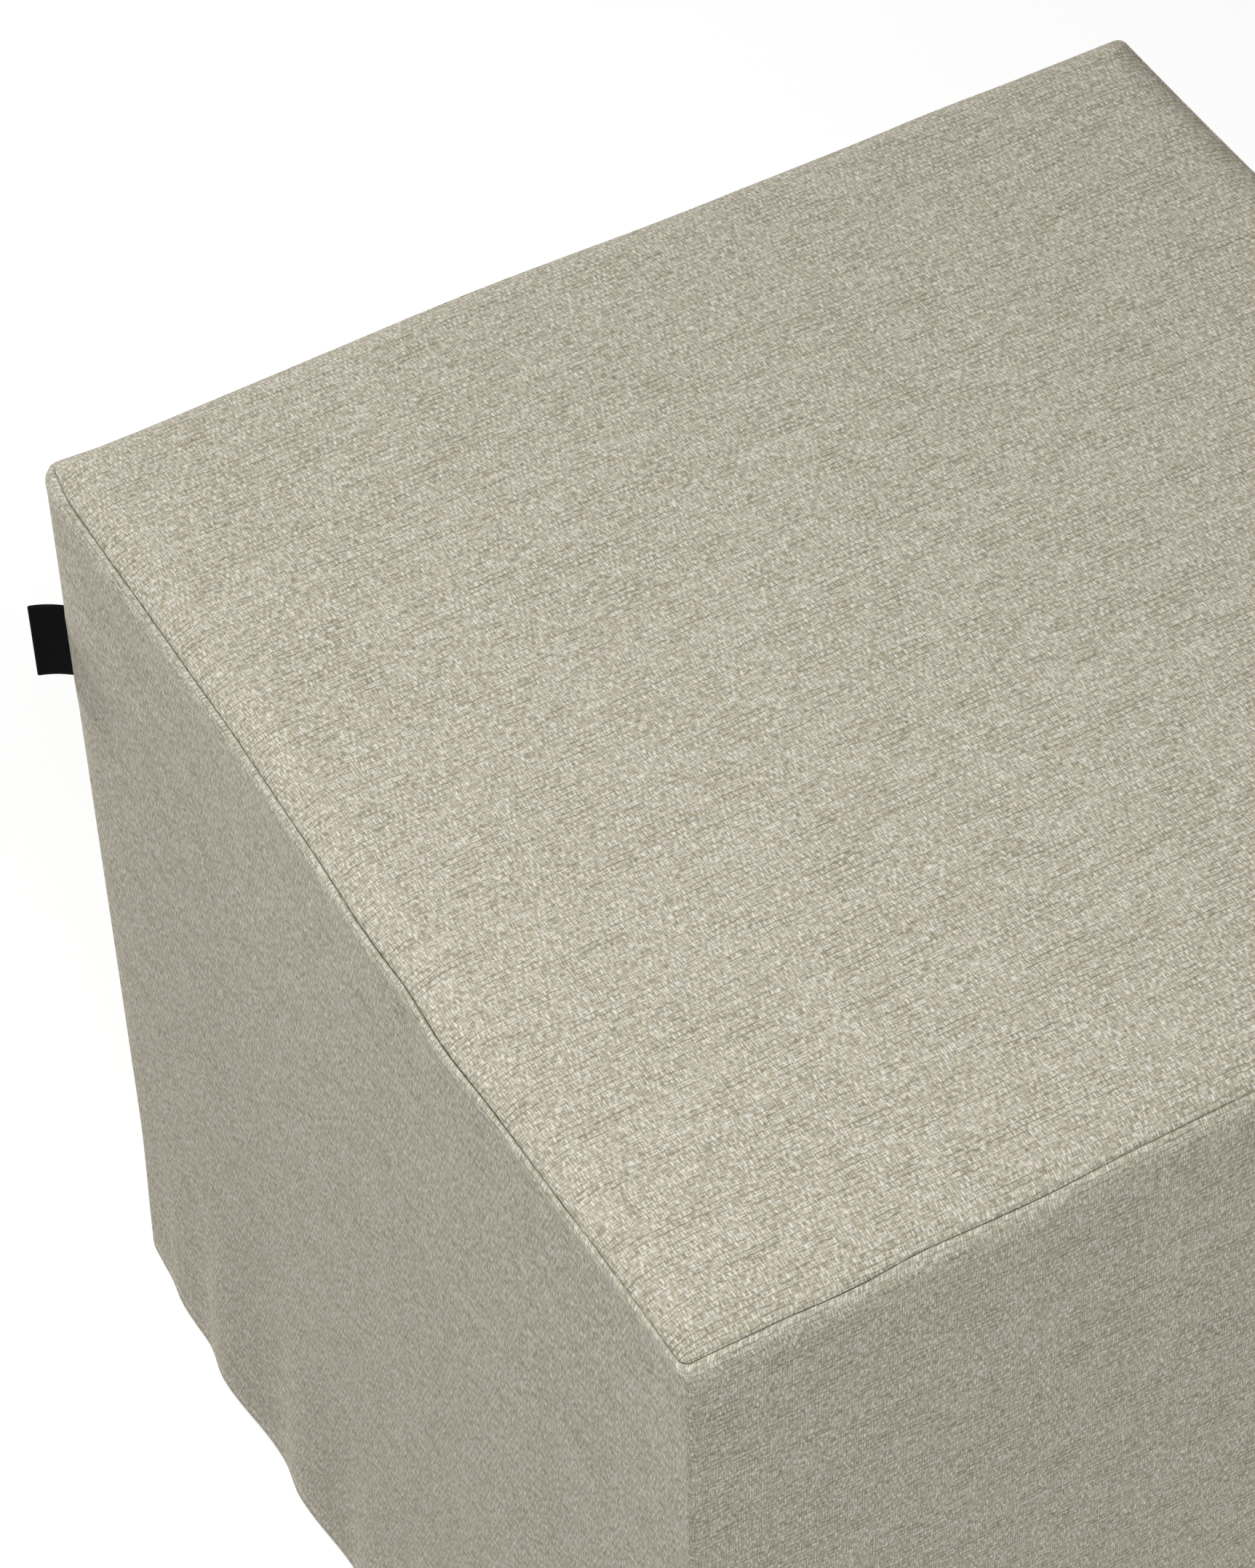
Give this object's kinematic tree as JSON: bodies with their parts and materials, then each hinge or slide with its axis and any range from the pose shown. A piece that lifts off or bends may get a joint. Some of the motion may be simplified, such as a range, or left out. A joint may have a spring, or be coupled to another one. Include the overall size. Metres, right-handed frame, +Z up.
{
  "type": "cube pouf stool",
  "caption": "Cube-shaped fabric pouf: a firm filled block in a loose woven cover with a shoulder seam, an open turned hem below and a plain black side label.",
  "frame": {"origin": "middle of the base, on the surface that the pouf stands on", "axes": "+Z up, -Y towards the front side, -X towards the left side; the folded label is at the left back corner (-X, +Y)"},
  "size_m": [0.4116, 0.4061, 0.4065],
  "materials": {
    "cloth": "matt beige melange in a plain weave, with darker and lighter yarns",
    "lining": "matt off-white plain lining cloth",
    "label": "matt black woven ribbon, plain"
  },
  "bodies": {
    "root": {"filled_block": "lining", "top_panel": "cloth", "side_band": "cloth", "folded_label": "label"}
  },
  "joints": []
}
